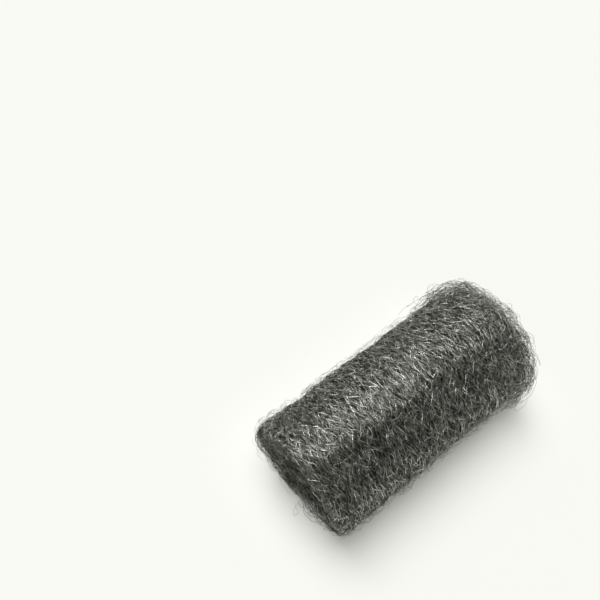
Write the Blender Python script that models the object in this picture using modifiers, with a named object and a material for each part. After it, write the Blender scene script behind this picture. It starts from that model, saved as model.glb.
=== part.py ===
"""Steel wool pad: one strip of steel wool, rolled up and laid on its side.

The strip is modelled flat and is then rolled up, as the real one is. Its outer
end thins out and lies along the roll, which leaves one shallow lengthwise furrow.
The inner turns have slid a little along the roll: one end is hollow, the other domed.
The wool's coarse wisps run around the roll, slant across each other and stand out.

World frame: metres, +Z up, +X along the roll towards its domed end. The origin is
at the middle of the flat spot that the soft roll lies on.
"""
import math

import bmesh
import bpy
from mathutils import Vector, noise

# Driving dimensions, in metres and radians
ROLL_LENGTH = 0.077
ROLL_WIDTH = 0.038
ROLL_HEIGHT = 0.0365
FLAT_WIDTH = 0.014

STRIP_THICKNESS = 0.005
TURN_GAP = 0.0004
CORE_RADIUS = 0.0006
CORE_PACKING = 5
HOLLOW_DEPTH = 0.006
DOME_STAND = 0.0012
SLIDING_SHARE = 0.77
EDGE_RADIUS = 0.0019

TAIL_THICKNESS = 0.0006
TAIL_TAPER = math.radians(95)
TAIL_NARROWING = 0.0018
TAIL_DIRECTION = math.radians(112)
FURROW_SPAN = math.radians(50)

DOME_DROP = 0.0021
DOME_REACH = 0.009
LIP_DROP = 0.0012
LIP_REACH = 0.006
LIP_SLANT = 0.0007
LIP_TUCK = 0.0022
DOME_TUCK = 0.001
TUCK_HEIGHT = 0.022

# Lengthwise ridges below the tail, broad dents, and wisps that run around the roll
RIDGE_DEPTH = 0.0006
RIDGE_WIDTH = 0.0019
RIDGE_LENGTH = 0.02
RIDGES_BELOW_TAIL = math.radians(92)
DENT_DEPTH = 0.0004
DENT_LENGTH = 0.027
WISP_DEPTH = 0.0009
WISP_WIDTH = 0.002
WISP_LENGTH = 0.009
WISP_SLANT = 0.35
SMOOTH_ABOVE_FLAT = math.radians(34)

# How finely the strip is divided, in radians around the roll and in parts along it. The
# outer turn's outside, where the wisps are, has each part halved as often as the last value.
INNER_STEP = math.radians(14)
LOWER_STEP = math.radians(9)
OUTER_STEP = math.radians(6.5)
RIDGE_STEP = math.radians(3.4)
PARTS_ALONG = 8
END_CROWDING = 0.8
EDGE_SEGMENTS = 2
HALVINGS_OUTSIDE = 3

# Worked out from the sizes above
FULL_TURN = 2 * math.pi
DOWN = 1.5 * math.pi
HALF_WIDTH = ROLL_WIDTH / 2
TURN_PITCH = STRIP_THICKNESS + TURN_GAP
STRIP_WIDTH = ROLL_LENGTH - DOME_STAND - LIP_SLANT
FLAT_COSINE = math.sqrt(1 - (FLAT_WIDTH / ROLL_WIDTH) ** 2)
HALF_HEIGHT = ROLL_HEIGHT / (1 + FLAT_COSINE)
CENTRE_HEIGHT = HALF_HEIGHT * FLAT_COSINE
WOUND_ANGLE = FULL_TURN * (HALF_WIDTH - STRIP_THICKNESS - CORE_RADIUS) / TURN_PITCH + TAIL_TAPER
OUTER_START = WOUND_ANGLE - FULL_TURN
FLAT_SCALE = (CORE_RADIUS + HALF_WIDTH) / 2

COLLECTION_NAME = "steel_wool_pad"
WOOL_COLOUR = (0.105, 0.109, 0.096, 1.0)
WOOL_ROUGHNESS = 0.45
WOOL_METALLIC = 0.9


def clear_scene():
    for obj in list(bpy.data.objects):
        bpy.data.objects.remove(obj, do_unlink=True)


def smooth(value):
    """Ease from 0 to 1 as value goes from 0 to 1."""
    value = min(1.0, max(0.0, value))
    return value * value * (3 - 2 * value)


def above_flat(direction):
    """How far around the roll a direction is from the flat spot, negative on the spot."""
    return abs(direction - DOWN) - math.asin(FLAT_WIDTH / ROLL_WIDTH)


def direction_of(wound):
    return (TAIL_DIRECTION - WOUND_ANGLE + wound) % FULL_TURN


def winding_stations():
    """Angles wound up from the core to the tail, closer where the ridges and wisps show."""
    last = WOUND_ANGLE - INNER_STEP
    stations = [0.0]
    while stations[-1] < last:
        angle = stations[-1]
        if angle < OUTER_START:
            step = INNER_STEP
        elif angle < OUTER_START + RIDGES_BELOW_TAIL:
            step = RIDGE_STEP
        elif above_flat(direction_of(angle)) < 0:
            step = LOWER_STEP
        else:
            step = OUTER_STEP
        stations.append(angle + step)
    stations[-1] = last
    stations.append(WOUND_ANGLE)
    return stations


def width_station(part):
    """Place of one division across the strip's width, which lies along the roll."""
    share = 2 * part / PARTS_ALONG - 1
    return STRIP_WIDTH / 2 * math.sin(END_CROWDING * share) / math.sin(END_CROWDING)


def strip_thickness(wound):
    """The strip's thickness, which runs out along the outer end."""
    taper = smooth((WOUND_ANGLE - wound) / TAIL_TAPER)
    return TAIL_THICKNESS + (STRIP_THICKNESS - TAIL_THICKNESS) * taper


def spiral_radius(wound):
    return CORE_RADIUS + TURN_PITCH * wound / FULL_TURN


def inner_radius(wound):
    """Radius of the strip's inner face, which bunches up to fill the core."""
    turns = wound / FULL_TURN
    if turns < 1:
        return CORE_RADIUS + TURN_PITCH * turns ** CORE_PACKING
    return spiral_radius(wound)


def outer_radius(wound):
    return spiral_radius(wound) + strip_thickness(wound)


def rounding(wound):
    """How much the roll is pressed at this angle to be round outside, furrow apart."""
    behind_tail = (WOUND_ANGLE - wound) % FULL_TURN
    furrow_start = FULL_TURN - FURROW_SPAN
    if behind_tail <= furrow_start:
        return HALF_WIDTH / outer_radius(WOUND_ANGLE - behind_tail)
    share = smooth((behind_tail - furrow_start) / FURROW_SPAN)
    near_radius = outer_radius(WOUND_ANGLE - furrow_start)
    return HALF_WIDTH / (near_radius + (outer_radius(WOUND_ANGLE) - near_radius) * share)


def ridge_depth(course, along):
    """Depth between the lengthwise ridges."""
    top = noise.noise(Vector((along / RIDGE_LENGTH, course / RIDGE_WIDTH, 0.5)))
    return RIDGE_DEPTH * smooth(0.5 - top)


def wisp_depth(course, along):
    """Depth between the wisps, which run around the roll and slant across each other."""
    tops = []
    for slant in (-WISP_SLANT, WISP_SLANT):
        place = (along + slant * course) / WISP_WIDTH
        tops.append(noise.noise(Vector((place, course / WISP_LENGTH, 20 * slant))))
    return WISP_DEPTH * smooth(0.6 - max(tops))


def hollow_depth(wound, direction, along):
    """How far the outer turn's outside lies below the round, by its ridges, wisps and dents."""
    if wound < OUTER_START:
        return 0.0
    course = (direction - DOWN) % FULL_TURN * HALF_WIDTH
    fading = smooth(1.5 * (1 - (wound - OUTER_START) / RIDGES_BELOW_TAIL))
    wave = math.sin(along / DENT_LENGTH * FULL_TURN + direction * 2)
    dent = DENT_DEPTH * (0.5 + 0.5 * wave)
    free = smooth(above_flat(direction) / SMOOTH_ABOVE_FLAT)
    hollow = fading * ridge_depth(course, along) + free * (dent + wisp_depth(course, along))
    deepest = WISP_DEPTH + DENT_DEPTH
    return hollow * min(1.0, strip_thickness(wound) / (2 * deepest))


def end_narrowing(along):
    """Share of the radius that is left where the roll narrows at its two ends."""
    to_dome = (along - (ROLL_LENGTH / 2 - DOME_REACH)) / DOME_REACH
    to_lip = (LIP_REACH - (along + ROLL_LENGTH / 2)) / LIP_REACH
    drop = DOME_DROP * max(0.0, to_dome) ** 2 + LIP_DROP * max(0.0, to_lip) ** 2
    return 1 - drop / HALF_WIDTH


def tuck(along, across, height):
    """How far the soft ends draw in below, and how the hollow end slants to one side."""
    lowness = smooth(1 - height / TUCK_HEIGHT)
    to_lip = max(0.0, -2 * along / ROLL_LENGTH)
    to_dome = max(0.0, 2 * along / ROLL_LENGTH)
    slant = LIP_SLANT * to_lip * across / HALF_WIDTH
    return lowness * (LIP_TUCK * to_lip - DOME_TUCK * to_dome) - slant


def slide(wound, across_strip):
    """How far a point has slid along the roll: none outside, most at the hollow end's core."""
    share = smooth((OUTER_START - wound) / (SLIDING_SHARE * OUTER_START))
    to_dome = 0.5 + across_strip / STRIP_WIDTH
    return share * (HOLLOW_DEPTH * (1 - to_dome) + DOME_STAND * to_dome)


def tail_width(wound):
    """Share of the strip's width that is left, as the tail's corners are rounded off."""
    share = max(0.0, 1 - (WOUND_ANGLE - wound) / TAIL_TAPER)
    return 1 - 2 * TAIL_NARROWING / STRIP_WIDTH * share ** 3


def rolled(point):
    """The place in the roll of a point of the flat strip."""
    wound = point.x / FLAT_SCALE
    along = point.y * tail_width(wound) + (LIP_SLANT - DOME_STAND) / 2 + slide(wound, point.y)
    direction = direction_of(wound)
    inside = inner_radius(wound)
    thickness = outer_radius(wound) - hollow_depth(wound, direction, along) - inside
    radius = inside + point.z / STRIP_THICKNESS * thickness
    radius *= rounding(wound) * end_narrowing(along)
    across = radius * math.cos(direction)
    height = CENTRE_HEIGHT + radius * math.sin(direction) * HALF_HEIGHT / HALF_WIDTH
    height = max(0.0, height)
    return along + tuck(along, across, height), across, height


def make_flat_strip():
    """The strip before it is rolled: a grid with a thickness and rounded edges."""
    stations = winding_stations()
    steps = len(stations) - 1
    grid = bmesh.new()
    bmesh.ops.create_grid(grid, x_segments=steps, y_segments=PARTS_ALONG, size=1.0)
    for vert in grid.verts:
        station = stations[round((vert.co.x + 1) / 2 * steps)]
        part = round((vert.co.y + 1) / 2 * PARTS_ALONG)
        vert.co = (station * FLAT_SCALE, width_station(part), 0.0)
    mesh = bpy.data.meshes.new("flat_strip")
    grid.to_mesh(mesh)
    grid.free()
    strip = bpy.data.objects.new("flat_strip", mesh)
    bpy.context.scene.collection.objects.link(strip)

    solidify = strip.modifiers.new("thickness", "SOLIDIFY")
    solidify.thickness = STRIP_THICKNESS
    solidify.offset = 1.0
    bevel = strip.modifiers.new("rounded_edges", "BEVEL")
    bevel.width = EDGE_RADIUS
    bevel.segments = EDGE_SEGMENTS
    bevel.limit_method = "ANGLE"
    bevel.angle_limit = math.radians(60)
    return strip


def divide_outside(strip):
    """Halves the parts of the outer turn's outer face, where the ridges and wisps are."""
    def wanted(edge):
        across = abs(edge.verts[0].co.x - edge.verts[1].co.x) < 1e-6
        outside = all(vert.co.z > STRIP_THICKNESS - 1e-6 for vert in edge.verts)
        wound = edge.verts[0].co.x / FLAT_SCALE
        return across and outside and wound > OUTER_START and above_flat(direction_of(wound)) > 0

    for _ in range(HALVINGS_OUTSIDE):
        edges = [edge for edge in strip.edges if wanted(edge)]
        bmesh.ops.subdivide_edges(strip, edges=edges, cuts=1)


def wool_material():
    material = bpy.data.materials.new("steel_wool")
    material.use_nodes = True
    shader = material.node_tree.nodes["Principled BSDF"]
    shader.inputs["Base Color"].default_value = WOOL_COLOUR
    shader.inputs["Roughness"].default_value = WOOL_ROUGHNESS
    shader.inputs["Metallic"].default_value = WOOL_METALLIC
    material.diffuse_color = WOOL_COLOUR
    return material


def make_wool_roll(collection):
    """The rolled strip: one solid, all its turns in one piece."""
    strip = make_flat_strip()
    evaluated = strip.evaluated_get(bpy.context.evaluated_depsgraph_get())
    mesh = bpy.data.meshes.new_from_object(evaluated)
    flat_mesh = strip.data
    bpy.data.objects.remove(strip)
    bpy.data.meshes.remove(flat_mesh)
    shaped = bmesh.new()
    shaped.from_mesh(mesh)
    divide_outside(shaped)
    for vert in shaped.verts:
        vert.co = rolled(vert.co)
    shaped.to_mesh(mesh)
    shaped.free()
    mesh.name = "wool_roll"
    mesh.materials.clear()
    mesh.materials.append(wool_material())
    mesh.shade_smooth()
    mesh.set_sharp_from_angle(angle=math.radians(50))
    roll = bpy.data.objects.new("wool_roll", mesh)
    collection.objects.link(roll)
    return roll


def main():
    clear_scene()
    collection = bpy.data.collections.new(COLLECTION_NAME)
    bpy.context.scene.collection.children.link(collection)
    make_wool_roll(collection)


main()
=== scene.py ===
"""Looks of a rolled steel wool pad: the batt's body under a mat of real, closed steel fibres.

Lengths in the scene are metres. MM turns a size in millimetres into metres.
"""
import math

import bmesh
import bpy
import numpy as np
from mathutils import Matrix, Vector


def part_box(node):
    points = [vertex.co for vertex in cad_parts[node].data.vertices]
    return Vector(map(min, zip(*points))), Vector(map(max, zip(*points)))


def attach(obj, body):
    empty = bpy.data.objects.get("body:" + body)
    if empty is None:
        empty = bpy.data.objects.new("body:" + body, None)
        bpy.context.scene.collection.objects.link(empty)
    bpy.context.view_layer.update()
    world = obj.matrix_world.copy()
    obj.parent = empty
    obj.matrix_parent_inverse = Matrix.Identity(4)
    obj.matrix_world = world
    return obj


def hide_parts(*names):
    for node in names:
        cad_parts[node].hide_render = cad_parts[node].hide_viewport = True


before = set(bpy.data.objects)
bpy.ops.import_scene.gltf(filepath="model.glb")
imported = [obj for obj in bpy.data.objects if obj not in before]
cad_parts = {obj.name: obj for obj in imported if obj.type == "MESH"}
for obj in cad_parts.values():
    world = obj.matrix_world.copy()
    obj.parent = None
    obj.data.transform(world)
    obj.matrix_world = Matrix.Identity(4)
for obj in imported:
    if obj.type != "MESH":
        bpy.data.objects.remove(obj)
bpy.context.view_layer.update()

MM = 0.001

# The camera, as the photograph was taken: its place, and the spot on the floor that it aims at,
# both from a fit of the roll's outline. The lens is for a square picture on a 36 mm sensor.
CAMERA_PLACE = Vector((-83.5, -57.9, 227.3)) * MM
CAMERA_AIM = Vector((8.0, 55.4, 0.0)) * MM
CAMERA_LENS = 46.82
CAMERA_SENSOR = 36.0
CAMERA_NEAR = 10 * MM
CAMERA_FAR = 20.0

# Light: a pale sky and one broad soft lamp, high up beyond the roll and longer across it
SKY_COLOUR = "fefff6"
SKY_STRENGTH = 0.31
LAMP_PLACE = Vector((0.09, 0.44, 1.30))
LAMP_WIDTH = 0.85
LAMP_LENGTH = 1.8
LAMP_POWER = 30.3

# The paper. Its share of plain, evenly seen colour goes from FADE_AT_ROLL to FADE_FAR_OFF over
# SHADOW_FADE, and the rest is its lit look, with the roll's shadow. The distance counts from a
# rectangle that lies this far inside the roll's ends and sides.
PAPER_WIDTH = 4.0
PAPER_COLOUR = "dfe0da"
PAPER_SEEN_COLOUR = "f8f9f3"
SHADOW_FADE = 30 * MM
FADE_AT_ROLL = 0.17
FADE_FAR_OFF = 0.97
FADE_INSIDE_ENDS = 9 * MM
FADE_INSIDE_SIDES = 4 * MM

# The roll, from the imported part. It lies along X, on the floor.
ROLL_LOW, ROLL_HIGH = (Vector(corner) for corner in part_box("wool_roll"))
HALF_WIDTH = ROLL_HIGH.y
AXIS_HEIGHT = ROLL_HIGH.z / 2

# The batt's body: its turns are fused across the gap between them, and its faces made even
WELD = 0.001 * MM
FUSE_GAP = 0.7 * MM
BODY_VOXEL = 0.75 * MM
BODY_RELAX = 0.5
BODY_RELAX_PASSES = 4

# The body lies a little under the fibres, in tufts that are long around the roll. A tuft stands
# out where its noise is over the level.
BODY_SINK = 0.3 * MM
TUFT_DEPTH = 0.7 * MM
TUFT_WIDTH = 1.1 * MM
TUFT_LENGTH = 4.5 * MM
TUFT_LEVEL = 0.62

# The streaks on the body: packed fibres, and painted shade between them, where little light gets in.
# They run around the roll, some of them crossing the others at this slope.
BODY_PAINTED_SHADE = "1e1f1c"
BODY_LIGHT = "b4b6ab"
STREAK_WIDTH = 0.3 * MM
STREAK_LENGTH = 2.4 * MM
STREAK_RELIEF = 0.3 * MM
STREAK_CROSSING = 0.45
STREAK_DARK_AT = 0.5
STREAK_LIGHT_AT = 0.75

# The furrow along the roll fades out towards the hollow end, where loose fibres all but fill it
FURROW_LOW = Vector((-36.0, -14.0, 27.0)) * MM
FURROW_HIGH = Vector((-6.0, -3.0, 40.0)) * MM
FURROW_FILLED_FROM = -22 * MM
FURROW_PASSES = 40
FURROW_SOFTNESS = 0.5

# The surface begins to face down, or to face an end, where that part of its normal is over the
# first values, and does so wholly from the range past them on
FACING_DOWN_FROM = 0.55
FACING_END_FROM = 0.5
FACING_RANGE = 0.3

# The mat's share underneath, and the fuzz's on the sides and more of it at the hollow end's lip
MAT_UNDERNEATH = 0.2
FUZZ_ON_SIDES = 0.45
FUZZ_AT_LIP = 0.2

# Where more fibres stand off: near the domed end, and around the hollow end's lip
DOME_FRINGE = 15 * MM
LIP_FRINGE = 4 * MM

# The domed end is so loose that its dense part ends this deep under the frizz
DOME_SINK = 0.5 * MM
DOME_SINK_REACH = 8 * MM

# At the hollow end the surface stands out this far, as its loose fibres do, and less and less
# over the reach
LIP_STAND = 0.6 * MM
LIP_STAND_REACH = 6 * MM

# The share of the mat, and the share of the crossing fibres and the fuzz, that the hollow end
# lacks, so that it looks deep
HOLLOW_THINNING = 0.9
HOLLOW_OPENNESS = 0.5

# Stray hairs leave the domed end and, this many times as densely, the hollow end's lower edge,
# which is this long from the lip and this high from the floor
STRAY_SHARE = 2.0
STRAY_REACH = 9 * MM
STRAY_HEIGHT = 12 * MM

# Fibres. Real ones are 0.03 to 0.1 mm thick, too fine to show here, so they are drawn thicker.
# A fibre has three sides, and its ends have this share of its thickness. Its length differs by
# up to the spread either way. The deepest fibres are a little thicker than the highest.
FIBRE_SIDES = 3
FIBRE_END = 0.4
FIBRE_SPREAD = 0.4
FIBRE_DEEP_GIRTH = 1.15
FIBRE_HIGH_GIRTH = 0.9

# A fibre's middle line stays this high above the floor. Sideways it has no bound.
FIBRE_REST = 0.15 * MM
NO_BOUND = -1.0

# Each fibre ripples in and out along its length
RIPPLES_PER_MM = 0.45
RIPPLE_DEPTH = 0.6 * MM

# Chance draws: the seeds of one layer lie this far apart, a fibre's own place in the noise is
# spread this widely, and the middle value of a noise is a half
SEED_STEP = 101
PHASE_SPREAD = 997.0
NOISE_MIDDLE = 0.5

# Painted highlight: a fibre's colour glints in patches of this size along it, and between them
# only by a share. Painted shade: the deepest fibres lose this share of it.
GLINT_PATCH = 2 * MM
GLINT_FROM = 0.3
GLINT_FULL_AT = 0.6
GLINT_BETWEEN = 0.25
DEPTH_PAINTED_SHADE = 0.4

# The map that the fibres' colours may be baked on has a cell for each fibre. It holds this many
# side by side. The margin and the width of an end's small face are shares of a cell.
MAP_COLUMNS = 48
MAP_MARGIN = 0.1
MAP_END_WIDTH = 0.06


def linear(colour):
    """An sRGB hex colour such as "c0c8d0" as linear RGBA."""
    parts = [int(colour[i:i + 2], 16) / 255 for i in (0, 2, 4)]
    return [c / 12.92 if c <= 0.04045 else ((c + 0.055) / 1.055) ** 2.4 for c in parts] + [1.0]


def add(tree, kind, inputs=None, **settings):
    """Adds a node with its settings. An input is a value, an output or a node's first output."""
    node = tree.nodes.new(kind)
    for name, value in settings.items():
        setattr(node, name, value)
    for name, value in (inputs or {}).items():
        if isinstance(value, bpy.types.Node):
            value = value.outputs[0]
        if isinstance(value, bpy.types.NodeSocket):
            tree.links.new(value, node.inputs[name])
        else:
            node.inputs[name].default_value = value
    return node


def new_tree(name, inputs):
    """A geometry node tree with named inputs. Returns it, what it is given and the identifiers."""
    tree = bpy.data.node_groups.new(name, "GeometryNodeTree")
    tree.interface.new_socket("Geometry", in_out="INPUT", socket_type="NodeSocketGeometry")
    tree.interface.new_socket("Geometry", in_out="OUTPUT", socket_type="NodeSocketGeometry")
    sockets = {}
    for label, kind in inputs.items():
        socket = tree.interface.new_socket(label, in_out="INPUT", socket_type="NodeSocket" + kind)
        sockets[label] = socket.identifier
    return tree, add(tree, "NodeGroupInput").outputs, sockets


def end_tree(tree, geometry, material):
    """Ends a geometry node tree: its result is real and has its material."""
    real = add(tree, "GeometryNodeRealizeInstances", {"Geometry": geometry})
    coloured = add(tree, "GeometryNodeSetMaterial", {"Geometry": real, "Material": material})
    add(tree, "NodeGroupOutput", {"Geometry": coloured})


def new_material(name):
    """A material, its node tree and its shader."""
    material = bpy.data.materials.new(name)
    material.use_nodes = True
    return material, material.node_tree, material.node_tree.nodes["Principled BSDF"]


def new_object(name, data):
    """An object in the scene, at the origin."""
    obj = bpy.data.objects.new(name, data)
    bpy.context.scene.collection.objects.link(obj)
    return obj


def baked(source, name):
    """A plain object with the evaluated mesh of source, which is removed."""
    bpy.context.view_layer.update()
    evaluated = source.evaluated_get(bpy.context.evaluated_depsgraph_get())
    mesh = bpy.data.meshes.new_from_object(evaluated)
    mesh.name = name
    bpy.data.objects.remove(source)
    return new_object(name, mesh)


def grow(source, name, tree, sockets, values):
    """Runs a geometry node tree on the mesh of source and returns the plain result."""
    host = new_object(name + "_host", source.data)
    modifier = host.modifiers.new("grow", "NODES")
    modifier.node_group = tree
    for label, value in values.items():
        modifier[sockets[label]] = value
    return baked(host, name)


def make_camera():
    """The camera that sees the roll as the photograph does."""
    camera = new_object("camera", bpy.data.cameras.new("camera"))
    camera.data.lens = CAMERA_LENS
    camera.data.sensor_width = CAMERA_SENSOR
    camera.data.clip_start = CAMERA_NEAR
    camera.data.clip_end = CAMERA_FAR
    camera.location = CAMERA_PLACE
    camera.rotation_euler = (CAMERA_AIM - CAMERA_PLACE).to_track_quat("-Z", "Y").to_euler()
    bpy.context.scene.camera = camera


def cad_surface():
    """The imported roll's surface, its turns fused into one closed skin of even fine faces."""
    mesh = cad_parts["wool_roll"].data.copy()
    mesh.materials.clear()
    welded = bmesh.new()
    welded.from_mesh(mesh)
    bmesh.ops.remove_doubles(welded, verts=welded.verts, dist=WELD)
    welded.to_mesh(mesh)
    welded.free()
    skin = new_object("skin", mesh)
    swell = skin.modifiers.new("fuse", "DISPLACE")
    swell.mid_level = 0.0
    swell.strength = FUSE_GAP
    remesh = skin.modifiers.new("even", "REMESH")
    remesh.mode = "VOXEL"
    remesh.voxel_size = BODY_VOXEL
    relax = skin.modifiers.new("relax", "SMOOTH")
    relax.factor = BODY_RELAX
    relax.iterations = BODY_RELAX_PASSES
    shrink = skin.modifiers.new("back", "DISPLACE")
    shrink.mid_level = 0.0
    shrink.strength = -FUSE_GAP
    return baked(skin, "surface")


def soften_furrow(surface):
    """Smooths the furrow near the hollow end, less and less towards where it is left as it is."""
    soft = bmesh.new()
    soft.from_mesh(surface.data)
    spots = [spot for spot in soft.verts
             if all(FURROW_LOW[i] < spot.co[i] < FURROW_HIGH[i] for i in range(3))]
    for step in range(FURROW_PASSES):
        end = FURROW_HIGH.x + (FURROW_FILLED_FROM - FURROW_HIGH.x) * step / FURROW_PASSES
        bmesh.ops.smooth_vert(soft, verts=[spot for spot in spots if spot.co.x < end],
                              factor=FURROW_SOFTNESS,
                              use_axis_x=False, use_axis_y=True, use_axis_z=True)
    soft.to_mesh(surface.data)
    soft.free()


def read_vectors(mesh, name):
    """The vector of this name of each vertex, one to a row."""
    values = np.empty(len(mesh.vertices) * 3)
    mesh.vertices.foreach_get(name, values)
    return values.reshape(-1, 3)


def share_within(distance, reach):
    """1 where the distance is none, and 0 from the reach on."""
    return np.clip(1 - distance / reach, 0, 1)


def share_facing(part, start):
    """0 where this part of a normal is under start, and 1 from the range past it on."""
    return np.clip((part - start) / FACING_RANGE, 0, 1)


def mark_surface(surface):
    """Writes how densely each kind of fibre grows. Then sinks the domed end, and lifts the lip.

    The mat is all over, thinner underneath and in the hollow, and the ends have crossing fibres.
    """
    mesh = surface.data
    place = read_vectors(mesh, "co")
    normal = read_vectors(mesh, "normal")
    from_dome = ROLL_HIGH.x - place[:, 0]
    from_lip = place[:, 0] - ROLL_LOW.x
    above = 1 - share_facing(-normal[:, 2], FACING_DOWN_FROM)
    to_dome = share_within(from_dome, DOME_FRINGE)
    to_dome = to_dome ** 2 * (3 - 2 * to_dome)
    to_lip = share_within(from_lip, LIP_FRINGE)
    fuzzy = FUZZ_ON_SIDES + (1 - FUZZ_ON_SIDES) * to_dome + FUZZ_AT_LIP * to_lip
    facing_end = share_facing(np.abs(normal[:, 0]), FACING_END_FROM)
    hollow = facing_end * (place[:, 0] < 0)
    low_edge = (share_within(from_lip, STRAY_REACH) * share_within(place[:, 2], STRAY_HEIGHT)
                * (place[:, 1] < 0))
    for name, values in (
        ("mat", (MAT_UNDERNEATH + (1 - MAT_UNDERNEATH) * above) * (1 - HOLLOW_THINNING * hollow)),
        ("dome", above * to_dome),
        ("stray", np.maximum(above * to_dome, STRAY_SHARE * low_edge)),
        ("fuzz", above * fuzzy * (1 - HOLLOW_OPENNESS * hollow)),
        ("ends", facing_end * above * (1 - HOLLOW_OPENNESS * hollow)),
    ):
        layer = mesh.attributes.new(name, "FLOAT", "POINT")
        layer.data.foreach_set("value", values.astype(np.float32))
    sunk = DOME_SINK * np.sqrt(share_within(from_dome, DOME_SINK_REACH)) * above
    place = place - normal * sunk[:, None]
    place[:, 0] -= LIP_STAND * share_within(from_lip, LIP_STAND_REACH)
    mesh.vertices.foreach_set("co", place.ravel())
    mesh.update()


def place_on_roll(tree, place, axis_height, half_width):
    """A place as it lies on the roll: how far along it, around it, and out from its axis."""
    parts = add(tree, "ShaderNodeSeparateXYZ", {0: place}).outputs
    height = add(tree, "ShaderNodeMath", {0: parts[2], 1: axis_height}, operation="SUBTRACT")
    angle = add(tree, "ShaderNodeMath", {0: parts[1], 1: height}, operation="ARCTAN2")
    around = add(tree, "ShaderNodeMath", {0: angle, 1: half_width}, operation="MULTIPLY")
    across = add(tree, "ShaderNodeCombineXYZ", {1: parts[1], 2: height})
    outward = add(tree, "ShaderNodeVectorMath", {0: across}, operation="LENGTH")
    return parts[0], around, outward.outputs["Value"]


def body_tree():
    """Pushes the body's surface in and out in tufts that run around the roll."""
    tree, given, sockets = new_tree("body_tufts", {
        "Axis height": "Float", "Half width": "Float", "Sink": "Float", "Depth": "Float",
        "Width": "Float", "Length": "Float", "Material": "Material",
    })
    along, around, outward = place_on_roll(tree, add(tree, "GeometryNodeInputPosition"),
                                           given["Axis height"], given["Half width"])
    along = add(tree, "ShaderNodeMath", {0: along, 1: given["Width"]}, operation="DIVIDE")
    around = add(tree, "ShaderNodeMath", {0: around, 1: given["Length"]}, operation="DIVIDE")
    outward = add(tree, "ShaderNodeMath", {0: outward, 1: given["Width"]}, operation="DIVIDE")
    spot = add(tree, "ShaderNodeCombineXYZ", {0: along, 1: around, 2: outward})
    noise = add(tree, "ShaderNodeTexNoise",
                {"Vector": spot, "Scale": 1.0, "Detail": 3.0, "Roughness": 0.6, "Distortion": 0.6})
    wave = add(tree, "ShaderNodeMath", {0: noise, 1: TUFT_LEVEL}, operation="SUBTRACT")
    wave = add(tree, "ShaderNodeMath", {0: wave, 1: given["Depth"]}, operation="MULTIPLY")
    push = add(tree, "ShaderNodeMath", {0: wave, 1: given["Sink"]}, operation="SUBTRACT")
    normal = add(tree, "GeometryNodeInputNormal")
    move = add(tree, "ShaderNodeVectorMath", {0: normal, "Scale": push}, operation="SCALE")
    moved = add(tree, "GeometryNodeSetPosition", {"Geometry": given["Geometry"], "Offset": move})
    end_tree(tree, moved, given["Material"])
    return tree, sockets


def strew_strands(tree, given):
    """Strews straight strands on the surface. Each has its own chance and glint, from 0 to 1."""
    lean_seed, length_seed, chance_seed, glint_seed = (
        add(tree, "ShaderNodeMath", {0: given["Seed"], 1: float(SEED_STEP * number)},
            operation="ADD")
        for number in (1, 2, 3, 4))
    weight = add(tree, "GeometryNodeInputNamedAttribute", {"Name": given["Where"]},
                 data_type="FLOAT")
    density = add(tree, "ShaderNodeMath", {0: weight, 1: given["Fibres per square metre"]},
                  operation="MULTIPLY")
    roots = add(tree, "GeometryNodeDistributePointsOnFaces",
                {"Mesh": given["Geometry"], "Density": density, "Seed": given["Seed"]},
                distribute_method="RANDOM")
    normal = roots.outputs["Normal"]

    # Each strand lies around the roll, turned by its own angle, which is small for most of them
    place = add(tree, "GeometryNodeInputPosition")
    axis = add(tree, "ShaderNodeCombineXYZ", {2: given["Axis height"]})
    from_axis = add(tree, "ShaderNodeVectorMath", {0: place, 1: axis}, operation="SUBTRACT")
    around = add(tree, "ShaderNodeVectorMath", {0: (1.0, 0.0, 0.0), 1: from_axis},
                 operation="CROSS_PRODUCT")
    lean = add(tree, "FunctionNodeRandomValue", {2: -1.0, 3: 1.0, "Seed": lean_seed},
               data_type="FLOAT").outputs[1]
    cube = add(tree, "ShaderNodeMath", {0: lean, 1: lean}, operation="MULTIPLY")
    cube = add(tree, "ShaderNodeMath", {0: cube, 1: lean}, operation="MULTIPLY")
    mixed = add(tree, "ShaderNodeMath", {0: cube, 1: lean}, operation="ADD")
    turn = add(tree, "ShaderNodeMath", {0: mixed, 1: given["Turn"]}, operation="MULTIPLY")
    heading = add(tree, "ShaderNodeVectorRotate",
                  {"Vector": around, "Axis": normal, "Angle": turn}, rotation_type="AXIS_ANGLE")
    facing = add(tree, "FunctionNodeAxesToRotation",
                 {"Primary Axis": normal, "Secondary Axis": heading},
                 primary_axis="Z", secondary_axis="X")

    # It starts as a line of its own length
    share = add(tree, "FunctionNodeRandomValue",
                {2: 1 - FIBRE_SPREAD, 3: 1 + FIBRE_SPREAD, "Seed": length_seed},
                data_type="FLOAT").outputs[1]
    length = add(tree, "ShaderNodeMath", {0: share, 1: given["Length"]}, operation="MULTIPLY")
    size = add(tree, "ShaderNodeCombineXYZ", {0: length, 1: 1.0, 2: 1.0})
    line = add(tree, "GeometryNodeCurvePrimitiveLine",
               {"Start": (-0.5, 0.0, 0.0), "End": (0.5, 0.0, 0.0)})
    line = add(tree, "GeometryNodeResampleCurve", {"Curve": line, "Count": given["Points"]})
    marked = roots
    for name, seed in (("chance", chance_seed), ("glint", glint_seed)):
        value = add(tree, "FunctionNodeRandomValue", {2: 0.0, 3: 1.0, "Seed": seed},
                    data_type="FLOAT").outputs[1]
        marked = add(tree, "GeometryNodeStoreNamedAttribute",
                     {"Geometry": marked, "Name": name, "Value": value},
                     data_type="FLOAT", domain="POINT")
    strands = add(tree, "GeometryNodeInstanceOnPoints",
                  {"Points": marked, "Instance": line, "Rotation": facing, "Scale": size})
    return add(tree, "GeometryNodeRealizeInstances", {"Geometry": strands})


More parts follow.
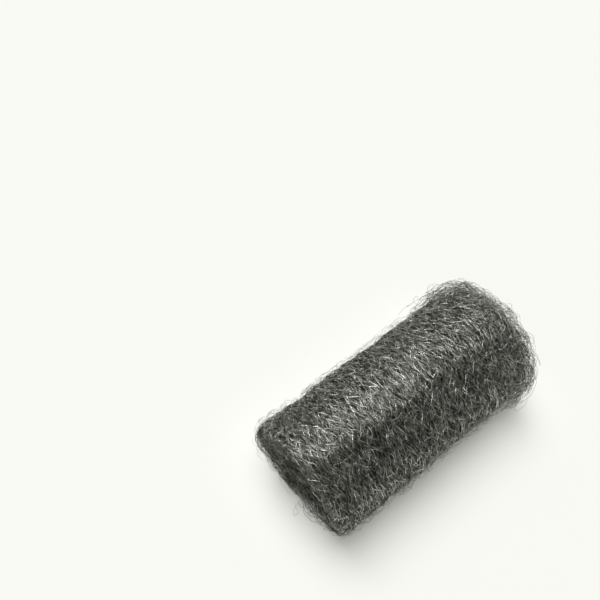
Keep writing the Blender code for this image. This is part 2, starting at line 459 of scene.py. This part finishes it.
def lay_strands(tree, given, strands, chance, bow):
    """Lets each strand wander sideways, and lays it on the surface at its own height."""
    place = add(tree, "GeometryNodeInputPosition")
    phase = add(tree, "ShaderNodeMath", {0: chance, 1: PHASE_SPREAD}, operation="MULTIPLY")
    wave_scale = add(tree, "ShaderNodeMath", {0: 1.0, 1: given["Wander length"]},
                     operation="DIVIDE")
    noise = add(tree, "ShaderNodeTexNoise",
                {"Vector": place, "W": phase, "Scale": wave_scale, "Detail": 1.0,
                 "Roughness": 0.6}, noise_dimensions="4D")
    wander = add(tree, "ShaderNodeVectorMath",
                 {0: noise.outputs["Color"], 1: (NOISE_MIDDLE, NOISE_MIDDLE, NOISE_MIDDLE)},
                 operation="SUBTRACT")
    wander = add(tree, "ShaderNodeVectorMath", {0: wander, "Scale": given["Wander"]},
                 operation="SCALE")
    wandered = add(tree, "ShaderNodeVectorMath", {0: place, 1: wander}, operation="ADD")
    nearest = add(tree, "GeometryNodeProximity",
                  {0: given["Geometry"], "Sample Position": wandered}, target_element="FACES")
    outward = add(tree, "GeometryNodeSampleNearestSurface",
                  {"Mesh": given["Geometry"], "Value": add(tree, "GeometryNodeInputNormal"),
                   "Sample Position": wandered}, data_type="FLOAT_VECTOR")
    level = add(tree, "ShaderNodeMapRange",
                {"Value": chance, "To Min": given["Low"], "To Max": given["High"]})
    arch = add(tree, "ShaderNodeMath", {0: bow, 1: given["Arch"]}, operation="MULTIPLY")
    ripple = add(tree, "ShaderNodeTexNoise",
                 {"Vector": place, "W": phase, "Scale": given["Ripples per metre"], "Detail": 0.0},
                 noise_dimensions="4D")
    ripple = add(tree, "ShaderNodeMath", {0: ripple, 1: NOISE_MIDDLE}, operation="SUBTRACT")
    ripple = add(tree, "ShaderNodeMath", {0: ripple, 1: given["Ripple depth"]},
                 operation="MULTIPLY")
    height = add(tree, "ShaderNodeMath", {0: level, 1: arch}, operation="ADD")
    height = add(tree, "ShaderNodeMath", {0: height, 1: ripple}, operation="ADD")
    lifted = add(tree, "ShaderNodeVectorMath", {0: outward, "Scale": height}, operation="SCALE")
    final = add(tree, "ShaderNodeVectorMath", {0: nearest, 1: lifted}, operation="ADD")
    lowest = add(tree, "ShaderNodeCombineXYZ", {0: NO_BOUND, 1: NO_BOUND, 2: given["Rest"]})
    final = add(tree, "ShaderNodeVectorMath", {0: final, 1: lowest}, operation="MAXIMUM")
    return add(tree, "GeometryNodeSetPosition", {"Geometry": strands, "Position": final})


def thicken_strands(tree, given, strands, chance, bow):
    """Makes each strand a closed tube, thinner at its two ends."""
    own = add(tree, "ShaderNodeMapRange",
              {"Value": chance, "To Min": FIBRE_DEEP_GIRTH, "To Max": FIBRE_HIGH_GIRTH})
    taper = add(tree, "ShaderNodeMapRange", {"Value": bow, "To Min": FIBRE_END})
    girth = add(tree, "ShaderNodeMath", {0: own, 1: taper}, operation="MULTIPLY")
    radius = add(tree, "ShaderNodeMath", {0: given["Thickness"], 1: 2.0}, operation="DIVIDE")
    ring = add(tree, "GeometryNodeCurvePrimitiveCircle",
               {"Resolution": given["Sides"], "Radius": radius}, mode="RADIUS")
    tubes = add(tree, "GeometryNodeCurveToMesh",
                {"Curve": strands, "Profile Curve": ring, "Scale": girth, "Fill Caps": True})
    return add(tree, "GeometryNodeSetShadeSmooth", {"Geometry": tubes})


def fibre_tree():
    """Closed wavy fibres that lie along the surface, most of them around the roll."""
    tree, given, sockets = new_tree("steel_fibres", {
        "Fibres per square metre": "Float", "Where": "String", "Length": "Float",
        "Thickness": "Float", "Turn": "Float", "Wander": "Float", "Wander length": "Float",
        "Low": "Float", "High": "Float", "Arch": "Float", "Ripples per metre": "Float",
        "Ripple depth": "Float", "Rest": "Float", "Axis height": "Float", "Sides": "Int",
        "Points": "Int", "Seed": "Int", "Material": "Material",
    })
    strands = strew_strands(tree, given)
    chance = add(tree, "GeometryNodeInputNamedAttribute", {"Name": "chance"}, data_type="FLOAT")
    # The bow is 0 at a fibre's two ends and 1 in its middle
    along = add(tree, "GeometryNodeSplineParameter").outputs["Factor"]
    half_turn = add(tree, "ShaderNodeMath", {0: along, 1: math.pi}, operation="MULTIPLY")
    bow = add(tree, "ShaderNodeMath", {0: half_turn}, operation="SINE")
    strands = lay_strands(tree, given, strands, chance, bow)
    fibres = thicken_strands(tree, given, strands, chance, bow)
    end_tree(tree, fibres, given["Material"])
    return tree, sockets


def map_fibres(mesh, points):
    """Gives each fibre its own cell on the map OFBake. The vertices run ring by ring along it."""
    corners = len(mesh.loops)
    vertex = np.empty(corners, int)
    mesh.loops.foreach_get("vertex_index", vertex)
    first = np.empty(len(mesh.polygons), int)
    mesh.polygons.foreach_get("loop_start", first)
    sizes = np.diff(np.append(first, corners))
    ring = vertex // FIBRE_SIDES
    side = (vertex % FIBRE_SIDES).astype(float)
    along = (ring % points) / (points - 1)
    fibre = ring // points
    middle_side = np.repeat(np.add.reduceat(side, first) / sizes, sizes)
    middle_along = np.repeat(np.add.reduceat(along, first) / sizes, sizes)
    # The last side closes the ring, from side 2 back to side 0, which is side 3 on the map
    closing = middle_side == (FIBRE_SIDES - 1) / 2
    side = np.where(closing & (side == 0), FIBRE_SIDES, side)
    # An end's small face points away from the fibre on the map, so that it has a width there
    end = np.where(middle_along == 0, -1, np.where(middle_along == 1, 1, 0))
    across_cell = MAP_MARGIN + (1 - 2 * MAP_MARGIN) * along + MAP_END_WIDTH * end * (side == 1)
    up_cell = MAP_MARGIN + (1 - 2 * MAP_MARGIN) * side / FIBRE_SIDES
    rows = fibre.max() // MAP_COLUMNS + 1
    place = np.stack([(fibre % MAP_COLUMNS + across_cell) / MAP_COLUMNS,
                      (fibre // MAP_COLUMNS + up_cell) / rows], 1)
    cells = mesh.uv_layers.new(name="OFBake")
    cells.uv.foreach_set("vector", place.astype(np.float32).ravel())


def fibre_material(name, dark, light, bright_share, roughness):
    """Shaved low-carbon steel: bare metal with painted glints, fibre by fibre, and painted shade deep
    down.

    The bright share is that of the fibres that have more than half of the full glint.
    """
    material, tree, shader = new_material(name)
    place = add(tree, "ShaderNodeTexCoord").outputs["Object"]
    patch = add(tree, "ShaderNodeTexNoise", {"Vector": place, "Scale": 1 / GLINT_PATCH, "Detail": 2.0})
    # Painted highlight: a share of the fibres, and patches along each, are coloured lighter, as glints
    glint = add(tree, "ShaderNodeAttribute", attribute_name="glint").outputs["Fac"]
    chance = add(tree, "ShaderNodeAttribute", attribute_name="chance").outputs["Fac"]
    own = add(tree, "ShaderNodeMapRange",
              {"Value": glint, "From Min": 1 - 2 * bright_share, "From Max": 1.0})
    along = add(tree, "ShaderNodeMapRange",
                {"Value": patch, "From Min": GLINT_FROM, "From Max": GLINT_FULL_AT,
                 "To Min": GLINT_BETWEEN})
    # Painted shade: the deeper a fibre lies, the darker its colour
    depth_shade = add(tree, "ShaderNodeMath", {0: chance, 1: DEPTH_PAINTED_SHADE, 2: 1 - DEPTH_PAINTED_SHADE},
                 operation="MULTIPLY_ADD")
    shown = add(tree, "ShaderNodeMath", {0: own, 1: along}, operation="MULTIPLY")
    shown = add(tree, "ShaderNodeMath", {0: shown, 1: depth_shade}, operation="MULTIPLY")
    colour = add(tree, "ShaderNodeMix",
                 {"Factor": shown, "A": linear(dark), "B": linear(light)}, data_type="RGBA")
    tree.links.new(colour.outputs["Result"], shader.inputs["Base Color"])
    shader.inputs["Metallic"].default_value = 1.0
    shader.inputs["Roughness"].default_value = roughness
    return material


def body_material():
    """The depth of the batt: packed steel fibres, drawn as fine streaks that cross each other.

    They run around the roll, as its fibres do, and are drawn as coarse as they need to show.
    To the eye they are dull steel with painted shade in the gaps, so the surface isn't quite all
    metal.
    """
    material, tree, shader = new_material("packed_steel_wool")
    place = add(tree, "ShaderNodeTexCoord").outputs["Object"]
    along, around, outward = place_on_roll(tree, place, AXIS_HEIGHT, HALF_WIDTH)
    streaks = None
    for crossing in (-STREAK_CROSSING, 0.0, STREAK_CROSSING):
        slanted = add(tree, "ShaderNodeMath", {0: around, 1: crossing, 2: along},
                      operation="MULTIPLY_ADD")
        spot = add(tree, "ShaderNodeCombineXYZ", {0: slanted, 1: around, 2: outward})
        spot = add(tree, "ShaderNodeMapping",
                   {"Vector": spot, "Location": (crossing, crossing, crossing),
                    "Scale": (1 / STREAK_WIDTH, 1 / STREAK_LENGTH, 1 / STREAK_WIDTH)})
        noise = add(tree, "ShaderNodeTexNoise",
                    {"Vector": spot, "Scale": 1.0, "Detail": 2.0, "Distortion": 0.8})
        if streaks is None:
            streaks = noise
        else:
            streaks = add(tree, "ShaderNodeMath", {0: streaks, 1: noise}, operation="MAXIMUM")
    shown = add(tree, "ShaderNodeMapRange",
                {"Value": streaks, "From Min": STREAK_DARK_AT, "From Max": STREAK_LIGHT_AT})
    # Painted shade: the dark between the streaks stands for light trapped deep in the batt
    colour = add(tree, "ShaderNodeMix",
                 {"Factor": shown, "A": linear(BODY_PAINTED_SHADE), "B": linear(BODY_LIGHT)},
                 data_type="RGBA")
    tree.links.new(colour.outputs["Result"], shader.inputs["Base Color"])
    shader.inputs["Metallic"].default_value = 0.85
    shader.inputs["Roughness"].default_value = 0.5
    bump = add(tree, "ShaderNodeBump",
               {"Height": streaks, "Strength": 0.5, "Distance": STREAK_RELIEF})
    tree.links.new(bump.outputs[0], shader.inputs["Normal"])
    return material


def paper_material():
    """Matt white paper. Away from the roll it is seen as even as in the photograph."""
    material, tree, shader = new_material("matt_white_paper")
    shader.inputs["Base Color"].default_value = linear(PAPER_COLOUR)
    shader.inputs["Roughness"].default_value = 0.9
    plain = add(tree, "ShaderNodeEmission", {"Color": linear(PAPER_SEEN_COLOUR), "Strength": 1.0})

    # The distance from the rectangle inside the roll's outline. Height has no part in it.
    place = add(tree, "ShaderNodeTexCoord").outputs["Object"]
    away = add(tree, "ShaderNodeVectorMath", {0: place}, operation="ABSOLUTE")
    edge = (ROLL_HIGH.x - FADE_INSIDE_ENDS, HALF_WIDTH - FADE_INSIDE_SIDES, 1.0)
    away = add(tree, "ShaderNodeVectorMath", {0: away, 1: edge}, operation="SUBTRACT")
    away = add(tree, "ShaderNodeVectorMath", {0: away, 1: (0.0, 0.0, 0.0)}, operation="MAXIMUM")
    away = add(tree, "ShaderNodeVectorMath", {0: away}, operation="LENGTH").outputs["Value"]
    fade = add(tree, "ShaderNodeMapRange",
               {"Value": away, "From Max": SHADOW_FADE, "To Min": FADE_AT_ROLL,
                "To Max": FADE_FAR_OFF}, interpolation_type="SMOOTHSTEP")

    # Seen directly or in a reflection, it has its share of the plain colour. As a soft light on
    # the roll, it is lit paper alone.
    ray = add(tree, "ShaderNodeLightPath").outputs
    seen = add(tree, "ShaderNodeMath", {0: ray["Is Camera Ray"], 1: ray["Is Glossy Ray"]},
               operation="MAXIMUM")
    seen = add(tree, "ShaderNodeMath", {0: seen, 1: ray["Is Transmission Ray"]},
               operation="MAXIMUM")
    part = add(tree, "ShaderNodeMath", {0: seen, 1: fade}, operation="MULTIPLY")
    mixed = add(tree, "ShaderNodeMixShader", {0: part, 1: shader, 2: plain})
    tree.links.new(mixed.outputs[0], tree.nodes["Material Output"].inputs["Surface"])
    return material


def make_stage():
    """The sky, the white paper that the roll lies on, and the lamp."""
    scene = bpy.context.scene
    scene.view_settings.view_transform = "Standard"
    scene.world = bpy.data.worlds.new("studio")
    scene.world.use_nodes = True
    sky = scene.world.node_tree.nodes["Background"]
    sky.inputs["Color"].default_value = linear(SKY_COLOUR)
    sky.inputs["Strength"].default_value = SKY_STRENGTH

    bpy.ops.mesh.primitive_plane_add(size=PAPER_WIDTH)
    floor = bpy.context.object
    floor.name = "floor"
    floor.data.materials.append(paper_material())

    lamp = new_object("soft_lamp", bpy.data.lights.new("soft_lamp", "AREA"))
    lamp.data.shape = "RECTANGLE"
    lamp.data.size = LAMP_WIDTH
    lamp.data.size_y = LAMP_LENGTH
    lamp.data.energy = LAMP_POWER
    lamp.location = LAMP_PLACE
    lamp.rotation_euler = (-LAMP_PLACE).to_track_quat("-Z", "Y").to_euler()


def finish_piece(piece):
    """Every piece rides on the one body and stands for the roll."""
    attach(piece, "root")
    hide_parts("wool_roll")


def make_body(surface):
    """The batt's dense body, which is soft."""
    tree, sockets = body_tree()
    body = grow(surface, "wool_body", tree, sockets, {
        "Axis height": AXIS_HEIGHT, "Half width": HALF_WIDTH, "Sink": BODY_SINK,
        "Depth": TUFT_DEPTH, "Width": TUFT_WIDTH, "Length": TUFT_LENGTH,
        "Material": body_material(),
    })
    body.data.shade_smooth()
    finish_piece(body)


def make_fibres(surface):
    """Every layer of fibres. Sizes are in millimetres, counts for each square millimetre."""
    tree, sockets = fibre_tree()
    # Deep in the mat little light gets in, so the steel looks grey and dull
    deep = fibre_material("shaved_steel_deep", "30322c", "caccc2", 0.38, 0.37)
    # Halfway up more light gets in, so this steel is painted lighter, between dark gaps
    middle = fibre_material("shaved_steel_middle", "30322c", "f6f8ee", 0.42, 0.31)
    # On top most fibres catch the lamp, as thin hard glints
    bright = fibre_material("shaved_steel_bright", "4c4f47", "fdfff8", 0.68, 0.23)
    # On the two ends the fibres shade each other, so they are nearly black with a few dim glints
    shaded = fibre_material("shaved_steel_shaded", "191b16", "85887e", 0.34, 0.40)
    # Single hairs and curls, away from the mat, are pale grey on dark and dark grey on the paper
    tangle = fibre_material("shaved_steel_tangle", "3a3b36", "f2f4ea", 0.48, 0.32)
    mat = {"where": "mat", "turn": 0.45, "wander": 1.9, "wave": 2.8, "points": 5}
    layers = (
        # The mat, from its depth to its top
        {**mat, "name": "wool_mat_1", "steel": deep, "count": 0.60, "length": 4.6, "thick": 0.20,
         "low": -0.6, "high": 0.1, "arch": 0.2},
        {**mat, "name": "wool_mat_2", "steel": middle, "count": 0.74, "length": 4.2, "thick": 0.18,
         "low": -0.4, "high": 0.2, "arch": 0.2},
        {**mat, "name": "wool_mat_3", "steel": middle, "count": 0.62, "length": 4.6, "thick": 0.19,
         "low": -0.2, "high": 0.3, "arch": 0.3, "points": 6},
        {**mat, "name": "wool_mat_4", "steel": bright, "count": 0.50, "length": 4.8, "thick": 0.24,
         "low": 0.0, "high": 0.4, "arch": 0.3, "points": 7},
        # Fibres that cross each other every way on the two ends
        {"name": "wool_ends", "steel": shaded, "where": "ends", "count": 1.0, "length": 5.0,
         "thick": 0.13, "turn": 1.6, "wander": 5.0, "wave": 4.0, "low": -0.2, "high": 0.6,
         "arch": 0.5, "points": 10},
        # Fine fuzz nearly all over
        {"name": "wool_fuzz", "steel": tangle, "where": "fuzz", "count": 0.50, "length": 5.0,
         "thick": 0.08, "turn": 1.1, "wander": 4.5, "wave": 3.0, "low": 0.0, "high": 1.4,
         "arch": 0.9, "points": 9},
        # Longer curls at the domed end
        {"name": "wool_halo", "steel": tangle, "where": "dome", "count": 0.70, "length": 10.0,
         "thick": 0.14, "turn": 1.0, "wander": 8.0, "wave": 3.0, "low": 0.0, "high": 3.0,
         "arch": 1.4, "points": 16},
        # A few stray hairs at both ends
        {"name": "wool_strays", "steel": tangle, "where": "stray", "count": 0.07, "length": 10.0,
         "thick": 0.11, "turn": 1.5, "wander": 9.0, "wave": 4.5, "low": 0.5, "high": 3.6,
         "arch": 1.9, "points": 18},
    )
    for number, layer in enumerate(layers, 1):
        piece = grow(surface, layer["name"], tree, sockets, {
            "Fibres per square metre": layer["count"] / MM ** 2, "Where": layer["where"],
            "Length": layer["length"] * MM, "Thickness": layer["thick"] * MM,
            "Turn": layer["turn"], "Wander": layer["wander"] * MM,
            "Wander length": layer["wave"] * MM, "Low": layer["low"] * MM,
            "High": layer["high"] * MM, "Arch": layer["arch"] * MM,
            "Ripples per metre": RIPPLES_PER_MM / MM, "Ripple depth": RIPPLE_DEPTH,
            "Rest": FIBRE_REST, "Axis height": AXIS_HEIGHT, "Sides": FIBRE_SIDES,
            "Points": layer["points"], "Seed": number, "Material": layer["steel"],
        })
        map_fibres(piece.data, layer["points"])
        finish_piece(piece)


def main():
    make_camera()
    make_stage()
    surface = cad_surface()
    soften_furrow(surface)
    mark_surface(surface)
    make_body(surface)
    make_fibres(surface)
    bpy.data.objects.remove(surface)


main()
